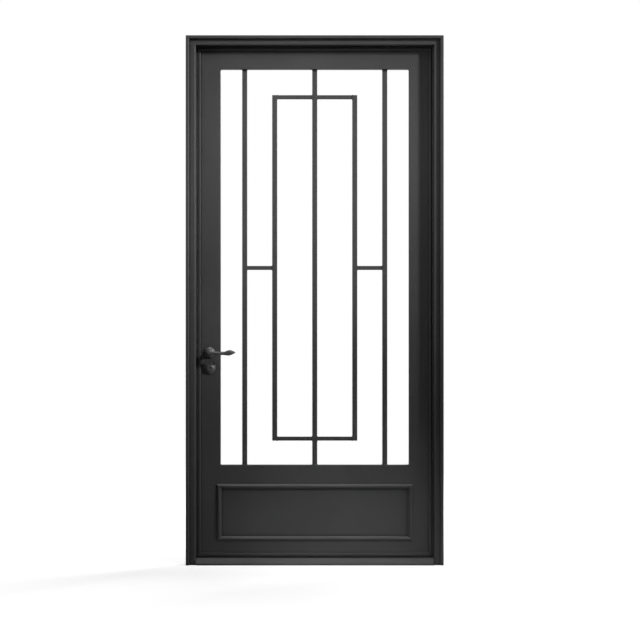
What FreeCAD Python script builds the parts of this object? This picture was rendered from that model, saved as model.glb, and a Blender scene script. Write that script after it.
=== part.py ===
import FreeCAD, Part
import math
import os

# Steel security screen door, closed, seen from its push side: +X to the right, +Y away
# from the viewer, +Z up. The origin is the middle of the sill's underside, in the plane
# of the frame's front face. All sizes are in millimetres.

# Outer frame of folded tube, with a raised lip round its outer edge
frame_width = 1022.0
frame_height = 2100.0
frame_face = 39.5
frame_wall = 2.0
frame_nose_radius = 7.0
frame_edge_radius = 1.5
lip_width = 13.5
lip_rise = 12.0
lip_radius = 5.0

# Sill between the jambs, with a sloped front that sheds water
sill_height = 28.0
sill_nose_height = 7.0
sill_slope_run = 22.0
sill_wall = 2.5

# Leaf: tube stiles and rails inside a raised edge tube
leaf_gap = 6.5
leaf_set_back = 40.0
leaf_thickness = 40.0
leaf_wall = 1.6
leaf_edge_radius = 2.0
stile_width = 78.5
top_rail_height = 72.0
lock_rail_height = 92.0
bottom_rail_height = 62.0
panel_bay_height = 195.0

# Edge tube of the leaf, which stands proud of the stiles in front
rim_width = 12.0
rim_rise = 5.0
rim_wall = 1.5
rim_radius = 3.0

# Stop bars welded on the back of the edge tube, which lap the frame when the leaf is closed
stop_lap = 10.0
stop_thickness = 4.0
stop_clearance = 6.0

# Kick panel and the moulding planted round it on both sides
panel_thickness = 24.0
panel_wall = 1.2
moulding_width = 20.0
moulding_lap = 16.5
moulding_rise = 8.0
moulding_slope = 7.0
moulding_edge = 1.5
moulding_fillet = 3.0

# Grille of welded square tube
bar_width = 20.0
tie_width = 16.0
bar_wall = 1.5
bar_radius = 2.0
side_bar_offset = 279.0
inner_bar_offset = 159.5
inner_top_inset = 110.0
inner_bottom_inset = 104.0

# Lever handle on its rose, one lever on each side of a square spindle
lever_height = 842.5
lever_backset = 46.5
lever_reach = 100.0
lever_projection = 46.0
lever_neck_radius = 9.0
lever_waist_at = 54.0
lever_leaf_at = 77.0
lever_root_height = 16.0
lever_waist_height = 12.0
lever_leaf_height = 20.5
lever_tip_height = 2.0
lever_root_depth = 14.0
lever_waist_depth = 10.0
lever_leaf_depth = 8.0
lever_tip_depth = 3.0
lever_waist_drop = 3.3
lever_leaf_drop = 1.0
lever_stations = 12
lever_lift_off = 0.5
rose_radius = 22.5
rose_edge = 3.0
rose_height = 9.0
spindle_width = 8.0
spindle_grip = 20.0
spindle_hole_radius = 8.0
running_fit = 0.05

# Key cylinder in its domed escutcheon, below the lever
cylinder_drop = 61.5
cylinder_radius = 10.5
cylinder_fit = 0.2
cylinder_proud = 3.0
escutcheon_radius = 24.5
escutcheon_edge = 3.0
escutcheon_height = 11.0
key_slot_width = 2.4
key_slot_height = 9.0
key_slot_depth = 8.0

# Lock faceplate in the leaf's edge and strike plate in the jamb
faceplate_width = 22.0
faceplate_height = 230.0
strike_width = 24.0
strike_height = 200.0
latch_slot_width = 12.0
latch_slot_height = 24.0

# Weld-on hinges behind the right-hand jamb
hinge_count = 3
hinge_end_distance = 250.0
hinge_offset = 26.0
hinge_barrel_radius = 9.0
hinge_barrel_length = 60.0
hinge_barrel_gap = 0.5
hinge_pin_radius = 5.0
hinge_pin_length = 52.0
hinge_pin_end_gap = 3.0
hinge_plate = 4.0
hinge_plate_reach = 44.0
hinge_pad_width = 22.0
hinge_pad_thickness = 5.0
hinge_web_width = 10.0

# Anchor holes through the jambs, hidden behind the closed leaf
anchor_radius = 5.5
anchor_end_distance = 250.0

# Levels and planes that follow from the sizes above
half_width = frame_width / 2
leaf_back = leaf_set_back + leaf_thickness
leaf_middle = leaf_set_back + leaf_thickness / 2
frame_depth = leaf_back - stop_clearance
stop_back = leaf_back + stop_thickness
inner_half_width = half_width - frame_face
leaf_half_width = inner_half_width - leaf_gap
leaf_bottom = sill_height + leaf_gap
leaf_top = frame_height - frame_face - leaf_gap
rim_front = leaf_set_back - rim_rise
stop_reach = leaf_gap + stop_lap
stile_outer = leaf_half_width - rim_width
stile_inner = stile_outer - stile_width
stile_bottom = leaf_bottom + rim_width
stile_top = leaf_top - rim_width
opening_top = stile_top - top_rail_height
panel_bottom = stile_bottom + bottom_rail_height
panel_top = panel_bottom + panel_bay_height
opening_bottom = panel_top + lock_rail_height
lever_x = lever_backset - leaf_half_width
cylinder_height = lever_height - cylinder_drop
hinge_x = inner_half_width + hinge_offset
hinge_y = stop_back + hinge_plate / 2

# Quarter turns about the depth axis: each side of a rectangle runs clockwise, seen from
# the front, with its section measured inward from the outer edge
LEFT_SIDE = 0
TOP_SIDE = 90
RIGHT_SIDE = 180
BOTTOM_SIDE = 270

Vector = FreeCAD.Vector
ORIGIN = Vector(0, 0, 0)
ACROSS = Vector(1, 0, 0)
INWARD = Vector(0, 1, 0)
UP = Vector(0, 0, 1)


def inset_points(points, wall):
    """Move each side of a counter-clockwise outline inward by one wall."""
    moved = []
    for index, here in enumerate(points):
        before = points[index - 1]
        after = points[(index + 1) % len(points)]
        side_in = (here - before).normalize()
        side_out = (after - here).normalize()
        normal_in = Vector(-side_in.y, side_in.x, 0)
        normal_out = Vector(-side_out.y, side_out.x, 0)
        shift = (normal_in + normal_out) * (wall / (1 + normal_in.dot(normal_out)))
        moved.append(here + shift)
    return moved


def rounded_wire(points, radii):
    """Close an outline of straight sides, with an arc at each corner that has a radius."""
    corners = []
    for index, here in enumerate(points):
        to_before = (points[index - 1] - here).normalize()
        to_after = (points[(index + 1) % len(points)] - here).normalize()
        radius = radii[index]
        half_angle = to_before.getAngle(to_after) / 2
        tangent = radius / math.tan(half_angle)
        bisector = (to_before + to_after).normalize()
        middle = here + bisector * (radius / math.sin(half_angle) - radius)
        corners.append((here + to_before * tangent, middle, here + to_after * tangent))
    edges = []
    for index, (start, middle, end) in enumerate(corners):
        if radii[index] > 0:
            edges.append(Part.Arc(start, middle, end).toShape())
        next_start = corners[(index + 1) % len(corners)][0]
        edges.append(Part.LineSegment(end, next_start).toShape())
    return Part.Wire(edges)


def section(wires):
    """A flat face from an outer wire and the wires of its hollows."""
    return Part.makeFace(wires, "Part::FaceMakerBullseye")


def tube_section(points, radii, wall):
    """A hollow section with one wall thickness all round."""
    inner_radii = [max(radius - wall, 0) for radius in radii]
    inner = rounded_wire(inset_points(points, wall), inner_radii)
    return section([rounded_wire(points, radii), inner])


def rectangle(width, front, back):
    """Corners of a rectangle that starts at the outer edge and runs from front to back."""
    return [Vector(0, front), Vector(width, front), Vector(width, back), Vector(0, back)]


def mitre_wedge(reach, depth, level, lean):
    """A prism that takes off what lies past a 45 degree mitre at one end of a member."""
    corners = [
        Vector(-reach, -depth, level - lean * reach),
        Vector(reach, -depth, level + lean * reach),
        Vector(reach, -depth, level - lean * reach),
    ]
    outline = Part.makePolygon(corners + corners[:1])
    return Part.Face(outline).extrude(INWARD * (2 * depth))


def member(profile, length, mitred_start, mitred_end, turn, corner):
    """Extrude a section along one side of a rectangle and mitre the ends that meet others."""
    solid = profile.extrude(UP * length)
    limits = profile.BoundBox
    reach = 2 * limits.DiagonalLength
    depth = 2 * max(abs(limits.YMin), abs(limits.YMax))
    if mitred_start:
        solid = solid.cut(mitre_wedge(reach, depth, 0, 1))
    if mitred_end:
        solid = solid.cut(mitre_wedge(reach, depth, length, -1))
    solid.Placement = FreeCAD.Placement(corner, FreeCAD.Rotation(INWARD, turn))
    return solid


def block(x, y, z):
    """A box between two limits along each axis."""
    size = [high - low for low, high in (x, y, z)]
    return Part.makeBox(*size, Vector(x[0], y[0], z[0]))


def span(middle, width):
    """Limits of a width that is centred on a place."""
    return (middle - width / 2, middle + width / 2)


def crosswise_hole(radius, y, z):
    """A hole along X through the left jamb at one place."""
    return Part.makeCylinder(radius, 2 * frame_face, Vector(-half_width - frame_face / 2, y, z), ACROSS)


def other_side(solid):
    """The same piece on the other face of the leaf."""
    return solid.mirror(Vector(0, leaf_middle, 0), INWARD)


def frame_section():
    """Section of the jambs and head: lip, flat face with a rounded nose, and back."""
    points = [
        Vector(0, -lip_rise),
        Vector(lip_width, -lip_rise),
        Vector(lip_width, 0),
        Vector(frame_face, 0),
        Vector(frame_face, frame_depth),
        Vector(0, frame_depth),
    ]
    radii = [frame_edge_radius, lip_radius, 0, frame_nose_radius, frame_edge_radius, frame_edge_radius]
    return tube_section(points, radii, frame_wall)


def anchor_levels():
    """Heights of the anchor holes in each jamb."""
    return (anchor_end_distance, frame_height - anchor_end_distance)


def left_jamb():
    """Left jamb with its anchor holes and the cut-out that takes the strike plate."""
    jamb = member(frame_section(), frame_height, False, True, LEFT_SIDE, Vector(-half_width, 0, 0))
    for level in anchor_levels():
        jamb = jamb.cut(crosswise_hole(anchor_radius, leaf_middle, level))
    return jamb.cut(strike_blank())


def right_jamb():
    """Right jamb, which carries the hinges."""
    corner = Vector(half_width, 0, frame_height)
    jamb = member(frame_section(), frame_height, True, False, RIGHT_SIDE, corner)
    for level in anchor_levels():
        hole = crosswise_hole(anchor_radius, leaf_middle, level)
        jamb = jamb.cut(hole.mirror(ORIGIN, ACROSS))
    return jamb


def head():
    """Head of the frame, mitred to both jambs."""
    corner = Vector(-half_width, 0, frame_height)
    return member(frame_section(), frame_width, True, True, TOP_SIDE, corner)


def sill():
    """Sill between the jambs, hollow, with a sloped front."""
    points = [
        Vector(0, -lip_rise),
        Vector(sill_nose_height, -lip_rise),
        Vector(sill_height, sill_slope_run - lip_rise),
        Vector(sill_height, frame_depth),
        Vector(0, frame_depth),
    ]
    radii = [frame_edge_radius, lip_radius, lip_radius, frame_edge_radius, frame_edge_radius]
    profile = tube_section(points, radii, sill_wall)
    return member(profile, 2 * inner_half_width, False, False, BOTTOM_SIDE, Vector(inner_half_width, 0, 0))


def strike_blank():
    """The strike plate before its latch slot is cut, flush in the jamb's wall."""
    wall = (-inner_half_width - frame_wall, -inner_half_width)
    return block(wall, span(leaf_middle, strike_width), span(lever_height, strike_height))


def latch_slot(outer, inner):
    """A slot for the latch through a plate in the door's edge."""
    width = span(leaf_middle, latch_slot_width)
    return block((outer, inner), width, span(lever_height, latch_slot_height))


def bolt_slot(outer, inner):
    """A slot for the dead bolt through a plate in the door's edge."""
    width = span(leaf_middle, latch_slot_width)
    return block((outer, inner), width, span(cylinder_height, latch_slot_height))


def strike_plate():
    """Strike plate in the left jamb, opposite the lock."""
    plate = strike_blank()
    edges = (-half_width, 0)
    return plate.cut(latch_slot(*edges)).cut(bolt_slot(*edges))


def faceplate_blank():
    """The lock's faceplate before its slots are cut, flush in the leaf's edge."""
    wall = (-leaf_half_width, rim_wall - leaf_half_width)
    middle_height = (lever_height + cylinder_height) / 2
    return block(wall, span(leaf_middle, faceplate_width), span(middle_height, faceplate_height))


def lock_faceplate():
    """Faceplate of the lock, with slots for its bolts."""
    plate = faceplate_blank()
    edges = (-half_width, 0)
    return plate.cut(latch_slot(*edges)).cut(bolt_slot(*edges))


def rim(turn, corner, length):
    """One side of the leaf's raised edge tube, mitred at both ends."""
    points = rectangle(rim_width, rim_front, leaf_back)
    profile = tube_section(points, [rim_radius, rim_radius, 0, 0], rim_wall)
    return member(profile, length, True, True, turn, corner)


def rims():
    """The four mitred sides of the leaf's edge, cut out for the lock's faceplate."""
    width = 2 * leaf_half_width
    height = leaf_top - leaf_bottom
    left = rim(LEFT_SIDE, Vector(-leaf_half_width, 0, leaf_bottom), height)
    return {
        "left_rim": left.cut(faceplate_blank()),
        "top_rim": rim(TOP_SIDE, Vector(-leaf_half_width, 0, leaf_top), width),
        "right_rim": rim(RIGHT_SIDE, Vector(leaf_half_width, 0, leaf_top), height),
        "bottom_rim": rim(BOTTOM_SIDE, Vector(leaf_half_width, 0, leaf_bottom), width),
    }


def stop_bar(turn, corner, length):
    """A flat bar on the back of the edge tube that reaches past the leaf's edge."""
    profile = section([rounded_wire(rectangle(stop_reach + rim_width, leaf_back, stop_back), [0] * 4)])
    return member(profile, length, True, True, turn, corner)


def stop_bars():
    """Stop bars on the four sides of the leaf, mitred where they meet."""
    half = leaf_half_width + stop_reach
    low = leaf_bottom - stop_reach
    high = leaf_top + stop_reach
    return {
        "left_stop": stop_bar(LEFT_SIDE, Vector(-half, 0, low), high - low),
        "top_stop": stop_bar(TOP_SIDE, Vector(-half, 0, high), 2 * half),
        "right_stop": stop_bar(RIGHT_SIDE, Vector(half, 0, high), high - low),
        "bottom_stop": stop_bar(BOTTOM_SIDE, Vector(half, 0, low), 2 * half),
    }


def leaf_tube(width):
    """Section of a stile or rail."""
    return tube_section(rectangle(width, leaf_set_back, leaf_back), [leaf_edge_radius] * 4, leaf_wall)


def lock_stile():
    """Left stile, drilled for the spindle and the key cylinder."""
    corner = Vector(-stile_outer, 0, stile_bottom)
    stile = member(leaf_tube(stile_width), stile_top - stile_bottom, False, False, LEFT_SIDE, corner)
    cylinder_hole = cylinder_radius + cylinder_fit
    for radius, level in ((spindle_hole_radius, lever_height), (cylinder_hole, cylinder_height)):
        stile = stile.cut(Part.makeCylinder(radius, 2 * leaf_back, Vector(lever_x, 0, level), INWARD))
    return stile


def hinge_stile():
    """Right stile."""
    corner = Vector(stile_outer, 0, stile_top)
    return member(leaf_tube(stile_width), stile_top - stile_bottom, False, False, RIGHT_SIDE, corner)


def rail(height, top):
    """A rail between the stiles, hung from its upper edge."""
    corner = Vector(-stile_inner, 0, top)
    return member(leaf_tube(height), 2 * stile_inner, False, False, TOP_SIDE, corner)


def kick_panel():
    """Hollow sheet panel between the lock rail and the bottom rail."""
    front = leaf_middle - panel_thickness / 2
    points = rectangle(panel_bay_height, front, front + panel_thickness)
    profile = tube_section(points, [0] * 4, panel_wall)
    return member(profile, 2 * stile_inner, False, False, TOP_SIDE, Vector(-stile_inner, 0, panel_top))


def moulding_section():
    """Planted moulding: a rounded bead that laps the rails and dips to the panel."""
    panel_front = leaf_middle - panel_thickness / 2
    crown = leaf_set_back - moulding_rise
    shoulder = leaf_set_back - moulding_edge
    points = [
        Vector(0, leaf_set_back),
        Vector(0, shoulder),
        Vector(moulding_slope, crown),
        Vector(moulding_width - moulding_slope, crown),
        Vector(moulding_width, shoulder),
        Vector(moulding_width, panel_front),
        Vector(moulding_lap, panel_front),
        Vector(moulding_lap, leaf_set_back),
    ]
    radii = [0, moulding_edge / 2, moulding_fillet, moulding_fillet, moulding_edge, 0, 0, 0]
    return section([rounded_wire(points, radii)])


def moulding(turn, corner, length):
    """One side of the moulding, on both faces of the leaf."""
    front = member(moulding_section(), length, True, True, turn, corner)
    return Part.makeCompound([front, other_side(front)])


def mouldings():
    """The four mitred sides of the moulding round the kick panel."""
    half = stile_inner + moulding_lap
    low = panel_bottom - moulding_lap
    high = panel_top + moulding_lap
    return {
        "left_moulding": moulding(LEFT_SIDE, Vector(-half, 0, low), high - low),
        "top_moulding": moulding(TOP_SIDE, Vector(-half, 0, high), 2 * half),
        "right_moulding": moulding(RIGHT_SIDE, Vector(half, 0, high), high - low),
        "bottom_moulding": moulding(BOTTOM_SIDE, Vector(half, 0, low), 2 * half),
    }


def bar_section(width):
    """Section of a grille bar, centred in the leaf's thickness."""
    points = rectangle(width, leaf_middle - width / 2, leaf_middle + width / 2)
    return tube_section(points, [bar_radius] * 4, bar_wall)


def upright_bar(x, bottom, top):
    """A vertical bar of the grille."""
    corner = Vector(x - bar_width / 2, 0, bottom)
    return member(bar_section(bar_width), top - bottom, False, False, LEFT_SIDE, corner)


def cross_bar(z, left, right):
    """A horizontal bar of the grille."""
    corner = Vector(left, 0, z + tie_width / 2)
    return member(bar_section(tie_width), right - left, False, False, TOP_SIDE, corner)


def grille():
    """Bars of the grille: three from rail to rail, and a tall inner rectangle tied to them."""
    half_bar = bar_width / 2
    inner_top = opening_top - inner_top_inset
    inner_bottom = opening_bottom + inner_bottom_inset
    inner_limits = (inner_bottom - tie_width / 2, inner_top + tie_width / 2)
    tie_level = (inner_top + inner_bottom) / 2
    cross_spans = [(half_bar - inner_bar_offset, -half_bar), (half_bar, inner_bar_offset - half_bar)]
    tie_left = (half_bar - side_bar_offset, -half_bar - inner_bar_offset)
    tie_right = (inner_bar_offset + half_bar, side_bar_offset - half_bar)
    return {
        "left_side_bar": upright_bar(-side_bar_offset, opening_bottom, opening_top),
        "center_bar": upright_bar(0, opening_bottom, opening_top),
        "right_side_bar": upright_bar(side_bar_offset, opening_bottom, opening_top),
        "left_inner_bar": upright_bar(-inner_bar_offset, *inner_limits),
        "right_inner_bar": upright_bar(inner_bar_offset, *inner_limits),
        "top_inner_bar": Part.makeCompound([cross_bar(inner_top, *side) for side in cross_spans]),
        "bottom_inner_bar": Part.makeCompound([cross_bar(inner_bottom, *side) for side in cross_spans]),
        "left_tie": cross_bar(tie_level, *tie_left),
        "right_tie": cross_bar(tie_level, *tie_right),
    }


def domed_plate(radius, edge, height, bore, level):
    """A round plate on the leaf's front face: a short edge, a domed top and a bore."""
    flat = (radius + bore) / 2
    mid_radius = (radius + flat) / 2 + (radius - flat) * (math.sqrt(0.5) - 0.5)
    mid_height = (edge + height) / 2 + (height - edge) * (math.sqrt(0.5) - 0.5)
    places = [(bore, 0), (radius, 0), (radius, edge), (flat, height), (bore, height)]
    corners = [Vector(out, 0, rise) for out, rise in places]
    edges = [
        Part.LineSegment(corners[0], corners[1]).toShape(),
        Part.LineSegment(corners[1], corners[2]).toShape(),
        Part.Arc(corners[2], Vector(mid_radius, 0, mid_height), corners[3]).toShape(),
        Part.LineSegment(corners[3], corners[4]).toShape(),
        Part.LineSegment(corners[4], corners[0]).toShape(),
    ]
    solid = Part.Face(Part.Wire(edges)).revolve(ORIGIN, UP, 360)
    outward = FreeCAD.Rotation(ACROSS, 90)
    solid.Placement = FreeCAD.Placement(Vector(lever_x, leaf_set_back, level), outward)
    return solid


def lever_oval(at, rise, height, depth):
    """Closed oval across the lever's arm, at a distance from the spindle's axis."""
    stretch = FreeCAD.Matrix()
    stretch.scale(1, depth / 2, height / 2)
    stretch.move(Vector(lever_x + at, leaf_set_back - lever_projection, lever_height + rise))
    circle = Part.makeCircle(1, ORIGIN, ACROSS)
    return Part.Wire([circle.transformGeometry(stretch)])


def eased(start, end, share):
    """A value part of the way from start to end, level at both."""
    return start + (end - start) * (1 - math.cos(math.pi * share)) / 2


def lever_shape(at):
    """Rise, height and depth of the arm: root to waist, waist to leaf, then a rounded point."""
    if at <= lever_waist_at:
        share = at / lever_waist_at
        height = eased(lever_root_height, lever_waist_height, share)
        depth = eased(lever_root_depth, lever_waist_depth, share)
        return eased(0, -lever_waist_drop, share), height, depth
    if at <= lever_leaf_at:
        share = (at - lever_waist_at) / (lever_leaf_at - lever_waist_at)
        height = eased(lever_waist_height, lever_leaf_height, share)
        depth = eased(lever_waist_depth, lever_leaf_depth, share)
        return eased(-lever_waist_drop, -lever_leaf_drop, share), height, depth
    share = (at - lever_leaf_at) / (lever_reach - lever_leaf_at)
    fullness = math.cos(math.pi / 2 * share)
    height = lever_tip_height + (lever_leaf_height - lever_tip_height) * fullness
    depth = lever_tip_depth + (lever_leaf_depth - lever_tip_depth) * fullness
    return -lever_leaf_drop, height, depth


def lever_arm():
    """Smooth arm through evenly spaced ovals."""
    places = [lever_reach * index / lever_stations for index in range(lever_stations + 1)]
    return Part.makeLoft([lever_oval(at, *lever_shape(at)) for at in places], True, False)


def outside_lever():
    """Lever with a round neck and an arm that narrows to a waist and ends in a leaf shape."""
    neck_end = lever_projection + lever_root_depth / 2
    neck_start = Vector(lever_x, leaf_set_back - lever_lift_off, lever_height)
    neck = Part.makeCylinder(lever_neck_radius, neck_end - lever_lift_off, neck_start, INWARD * -1)
    outer_edge = min(neck.Edges, key=lambda edge: edge.CenterOfMass.y)
    neck = neck.makeFillet(lever_neck_radius / 2, [outer_edge])
    return neck.fuse(lever_arm()).removeSplitter().cut(spindle())


def spindle():
    """Square spindle that joins the two levers through the lock."""
    reach = spindle_grip - lever_lift_off
    depth = (leaf_set_back - reach, leaf_back + reach)
    return block(span(lever_x, spindle_width), depth, span(lever_height, spindle_width))


def key_slot():
    """The key's slot in the outer end of the cylinder."""
    front = leaf_set_back - escutcheon_height - cylinder_proud
    height = span(cylinder_height, key_slot_height)
    return block(span(lever_x, key_slot_width), (front, front + key_slot_depth), height)


def key_cylinder():
    """Key cylinder through the lock, with a key slot at both ends."""
    proud = escutcheon_height + cylinder_proud
    start = Vector(lever_x, leaf_set_back - proud, cylinder_height)
    body = Part.makeCylinder(cylinder_radius, leaf_thickness + 2 * proud, start, INWARD)
    slot = key_slot()
    return body.cut(slot).cut(other_side(slot))


def hinge_levels():
    """Heights of the joints between the two halves of each hinge."""
    low = leaf_bottom + hinge_end_distance
    step = (leaf_top - leaf_bottom - 2 * hinge_end_distance) / (hinge_count - 1)
    return [low + step * index for index in range(hinge_count)]


def frame_knuckle(level):
    """Lower half of a hinge, on the back of the jamb, with its pin standing up."""
    top = level - hinge_barrel_gap / 2
    bottom = top - hinge_barrel_length
    heights = (bottom, top)
    barrel = Part.makeCylinder(hinge_barrel_radius, hinge_barrel_length, Vector(hinge_x, hinge_y, bottom))
    pad = block(span(hinge_x, hinge_pad_width), (frame_depth, frame_depth + hinge_pad_thickness), heights)
    web = block(span(hinge_x, hinge_web_width), (frame_depth, hinge_y), heights)
    pin = Part.makeCylinder(hinge_pin_radius, hinge_pin_length, Vector(hinge_x, hinge_y, top))
    return barrel.multiFuse([pad, web, pin]).removeSplitter()


def leaf_knuckle(level):
    """Upper half of a hinge, on the leaf's stop bar, bored to turn on the pin."""
    bottom = level + hinge_barrel_gap / 2
    top = bottom + hinge_barrel_length
    barrel = Part.makeCylinder(hinge_barrel_radius, hinge_barrel_length, Vector(hinge_x, hinge_y, bottom))
    plate_width = (hinge_x - hinge_plate_reach, hinge_x)
    plate = block(plate_width, (stop_back, stop_back + hinge_plate), (bottom, top))
    bore_depth = hinge_pin_length + hinge_pin_end_gap
    bore = Part.makeCylinder(hinge_pin_radius + running_fit, bore_depth, Vector(hinge_x, hinge_y, bottom))
    return barrel.fuse(plate).removeSplitter().cut(bore)


def pieces():
    """Every piece of the door under its own name."""
    neck_bore = lever_neck_radius + running_fit
    lever_rose = domed_plate(rose_radius, rose_edge, rose_height, neck_bore, lever_height)
    cylinder_bore = cylinder_radius + cylinder_fit
    escutcheon = domed_plate(
        escutcheon_radius, escutcheon_edge, escutcheon_height, cylinder_bore, cylinder_height
    )
    lever = outside_lever()
    named = {
        "left_jamb": left_jamb(),
        "right_jamb": right_jamb(),
        "head": head(),
        "sill": sill(),
        "strike_plate": strike_plate(),
        "lock_stile": lock_stile(),
        "hinge_stile": hinge_stile(),
        "top_rail": rail(top_rail_height, stile_top),
        "lock_rail": rail(lock_rail_height, opening_bottom),
        "bottom_rail": rail(bottom_rail_height, panel_bottom),
        "kick_panel": kick_panel(),
        "lock_faceplate": lock_faceplate(),
        "outside_rose": lever_rose,
        "inside_rose": other_side(lever_rose),
        "outside_escutcheon": escutcheon,
        "inside_escutcheon": other_side(escutcheon),
        "key_cylinder": key_cylinder(),
        "outside_lever": lever,
        "inside_lever": other_side(lever),
        "spindle": spindle(),
    }
    named.update(rims())
    named.update(stop_bars())
    named.update(mouldings())
    named.update(grille())
    for number, level in enumerate(hinge_levels(), start=1):
        named[f"frame_knuckle_{number}"] = frame_knuckle(level)
        named[f"leaf_knuckle_{number}"] = leaf_knuckle(level)
    return named


def write_parts():
    """Write each piece to its own file."""
    os.makedirs("parts", exist_ok=True)
    for name, shape in pieces().items():
        shape.exportStep(f"parts/{name}.step")


write_parts()
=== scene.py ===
"""Looks of a steel security screen door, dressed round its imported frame.

The door stands closed and is seen from its push side: +X to the right, +Y away from the viewer and +Z up,
in metres. Each sub-assembly is a class that dresses its own pieces and adds the small pieces that belong to
it, such as welds, screws and trim.
"""
import logging
import math
from dataclasses import dataclass, replace
from enum import Enum

import bmesh
import bpy
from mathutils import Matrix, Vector


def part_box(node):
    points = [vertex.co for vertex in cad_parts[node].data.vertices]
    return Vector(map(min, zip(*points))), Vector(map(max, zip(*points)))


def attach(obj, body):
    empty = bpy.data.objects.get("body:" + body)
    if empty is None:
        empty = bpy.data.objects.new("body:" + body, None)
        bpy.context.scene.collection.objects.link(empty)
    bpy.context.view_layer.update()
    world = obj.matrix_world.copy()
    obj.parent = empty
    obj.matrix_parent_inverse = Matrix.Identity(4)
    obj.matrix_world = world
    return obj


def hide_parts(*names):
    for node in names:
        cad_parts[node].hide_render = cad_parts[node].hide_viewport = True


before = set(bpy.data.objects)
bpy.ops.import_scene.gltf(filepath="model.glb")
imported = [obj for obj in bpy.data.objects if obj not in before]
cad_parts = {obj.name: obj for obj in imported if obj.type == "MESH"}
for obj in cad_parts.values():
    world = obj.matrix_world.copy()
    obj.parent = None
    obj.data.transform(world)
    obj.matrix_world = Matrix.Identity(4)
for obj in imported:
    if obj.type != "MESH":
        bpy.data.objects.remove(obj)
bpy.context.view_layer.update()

LOG = logging.getLogger("screen_door")
MM = 0.001

Color = tuple[float, float, float]
Point = tuple[float, float, float]
Limits = tuple[float, float, float, float]
Ring = list[bmesh.types.BMVert]
Path = list[Vector]
Material = bpy.types.Material
Mesh = bpy.types.Mesh
Piece = bpy.types.Object
Socket = bpy.types.NodeSocket

EVEN: Point = (1.0, 1.0, 1.0)
# Limits map one range to another: from-low, from-high, to-low and to-high.
EDGE_TURN: Limits = (0.99, 0.75, 0.0, 1.0)
CREASE_SHELTER: Limits = (0.92, 0.45, 0.0, 1.0)
FACING_UP: Limits = (0.4, 0.9, 0.0, 1.0)
BEHIND_DOOR: Limits = (0.0, 0.3, 0.0, 1.0)
EDGE_SAMPLES = 4
CREASE_SAMPLES = 8
# Places of sockets whose names repeat in their node, once for each kind of data.
MIX_UNDER, MIX_OVER, MIX_RESULT = 6, 7, 2
RANDOM_MOST, RANDOM_RESULT = 3, 1


class Grain(Enum):
    """Way that the rubbing marks in a painted piece run."""

    UPRIGHT = "upright"
    CROSSWISE = "crosswise"

    @property
    def stretch(self) -> Point:
        """Scales of the marks along each axis: low along the grain."""
        return (1.0, 1.0, 0.02) if self is Grain.UPRIGHT else (0.02, 1.0, 1.0)


class Axis(Enum):
    """Axis that a welded tube runs along."""

    X = 0
    Z = 2

    @property
    def across(self) -> tuple[int, int]:
        """Indices of the two other axes."""
        return (1, 2) if self is Axis.X else (0, 1)


class ShaderTree:
    """Nodes of a material or of the world, with short calls that add and join them."""

    def __init__(self, tree: bpy.types.NodeTree) -> None:
        """Take a node tree to build in."""
        self.nodes = tree.nodes
        self.links = tree.links

    def add(self, kind: str, **settings: object) -> bpy.types.Node:
        """Add a node.

        Args:
            kind: Node type without its ShaderNode prefix.
            settings: Properties of the node to set.

        Returns:
            The new node.
        """
        node = self.nodes.new(f"ShaderNode{kind}")
        for key, value in settings.items():
            setattr(node, key, value)
        return node

    def join(self, source: Socket, target: Socket) -> None:
        """Link an output to an input."""
        self.links.new(source, target)

    def spread(self, value: Socket, limits: Limits) -> Socket:
        """Map a value from one range to another, clamped.

        Args:
            value: Socket to map.
            limits: From-low, from-high, to-low and to-high.

        Returns:
            Socket with the mapped value.
        """
        mapped = self.add("MapRange", clamp=True)
        for name, limit in zip(("From Min", "From Max", "To Min", "To Max"), limits):
            mapped.inputs[name].default_value = limit
        self.join(value, mapped.inputs["Value"])
        return mapped.outputs["Result"]

    def combine(self, operation: str, first: Socket, second: Socket) -> Socket:
        """Combine two values by one operation of arithmetic.

        Args:
            operation: Name of the operation, such as MULTIPLY.
            first: First value.
            second: Second value.

        Returns:
            Socket with the result.
        """
        node = self.add("Math", operation=operation)
        self.join(first, node.inputs[0])
        self.join(second, node.inputs[1])
        return node.outputs["Value"]

    def component(self, output: str, axis: str, limits: Limits) -> Socket:
        """Mask from one component of the shaded point's place or normal.

        Args:
            output: Position or Normal.
            axis: X, Y or Z.
            limits: How the component becomes the mask, as spread takes it.

        Returns:
            Socket with the mask.
        """
        parts = self.add("SeparateXYZ")
        self.join(self.add("NewGeometry").outputs[output], parts.inputs["Vector"])
        return self.spread(parts.outputs[axis], limits)

    def seen_directly(self) -> Socket:
        """Mask of the rays that see the white surroundings.

        Camera rays always do. Reflected and transmitted rays do where they meet what is behind the door.

        Returns:
            Socket with the mask.
        """
        rays = self.add("LightPath").outputs
        bent = self.combine("MAXIMUM", rays["Is Glossy Ray"], rays["Is Transmission Ray"])
        behind = self.combine("MULTIPLY", bent, self.component("Position", "Y", BEHIND_DOOR))
        return self.combine("MAXIMUM", rays["Is Camera Ray"], behind)


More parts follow.
